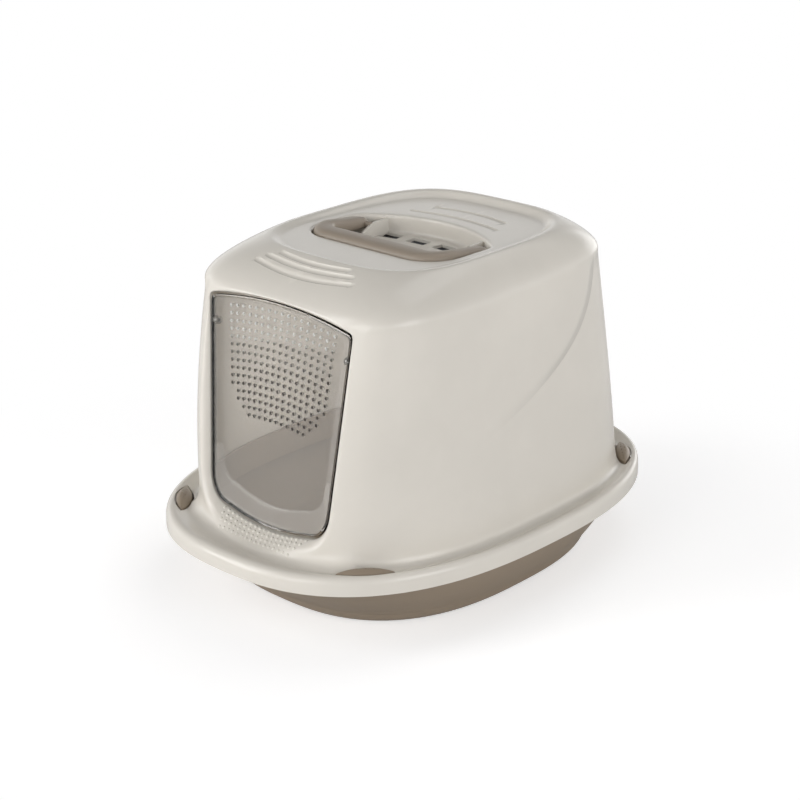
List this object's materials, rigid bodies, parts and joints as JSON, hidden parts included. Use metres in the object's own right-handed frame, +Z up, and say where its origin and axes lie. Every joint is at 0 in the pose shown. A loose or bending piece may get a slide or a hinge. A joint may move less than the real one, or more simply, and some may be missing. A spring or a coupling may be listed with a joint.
{
  "type": "cat litter box",
  "caption": "Hooded cat litter box: flared tray, domed hood with a swing flap and carry handle, tilting side latches and a filter under the roof.",
  "frame": {"origin": "centre of the footprint, on the floor", "axes": "-Y is the front with the flap, +X is the box's right as seen from the front, +Z is up"},
  "size_m": [0.3776, 0.5194, 0.3366],
  "materials": {
    "cream_plastic": "satin moulded",
    "taupe_plastic": "satin moulded",
    "handle_plastic": "satin moulded",
    "clear_plastic": "clear, lightly smoked",
    "grey_plastic": "moulded",
    "charcoal_pad": "open foam"
  },
  "bodies": {
    "tray": {"tray": "taupe_plastic", "litter_guard": "taupe_plastic"},
    "hood": {"hood": "cream_plastic"},
    "flap": {"door_flap": "clear_plastic", "flap_pin_left": "grey_plastic", "flap_pin_right": "grey_plastic"},
    "handle": {"carry_handle": "handle_plastic"},
    "filter_tray": {"filter_cover": "cream_plastic", "filter_pad": "charcoal_pad"},
    "latch_front_left": {"latch_front_left": "handle_plastic"},
    "latch_front_right": {"latch_front_right": "handle_plastic"},
    "latch_rear_left": {"latch_rear_left": "handle_plastic"},
    "latch_rear_right": {"latch_rear_right": "handle_plastic"}
  },
  "joints": [
    {"name": "hood_lift", "type": "slide", "parent": "tray", "child": "hood", "axis": [0, 0, 1], "range_m": [0, 0.25]},
    {"name": "flap_swing", "type": "hinge", "parent": "hood", "child": "flap", "pos_m": [0, -0.17577, 0.2644], "axis": [1, 0, 0], "range_deg": [-75, 75]},
    {"name": "handle_fold", "type": "hinge", "parent": "hood", "child": "handle", "pos_m": [0, 0.012, 0.3232], "axis": [-1, 0, 0], "range_deg": [0, 95]},
    {"name": "filter_cover_drop", "type": "hinge", "parent": "hood", "child": "filter_tray", "pos_m": [0, 0.0402, 0.3016], "axis": [1, 0, 0], "range_deg": [0, 75]},
    {"name": "latch_front_left_tilt", "type": "hinge", "parent": "hood", "child": "latch_front_left", "pos_m": [-0.12412, -0.19523, 0.0695], "axis": [-0.6763, 0.7366, 0], "range_deg": [0, 20]},
    {"name": "latch_front_right_tilt", "type": "hinge", "parent": "hood", "child": "latch_front_right", "pos_m": [0.12412, -0.19523, 0.0695], "axis": [-0.6763, -0.7366, 0], "range_deg": [0, 20]},
    {"name": "latch_rear_left_tilt", "type": "hinge", "parent": "hood", "child": "latch_rear_left", "pos_m": [-0.12412, 0.19523, 0.0695], "axis": [0.6763, 0.7366, 0], "range_deg": [0, 20]},
    {"name": "latch_rear_right_tilt", "type": "hinge", "parent": "hood", "child": "latch_rear_right", "pos_m": [0.12412, 0.19523, 0.0695], "axis": [0.6763, -0.7366, 0], "range_deg": [0, 20]}
  ]
}
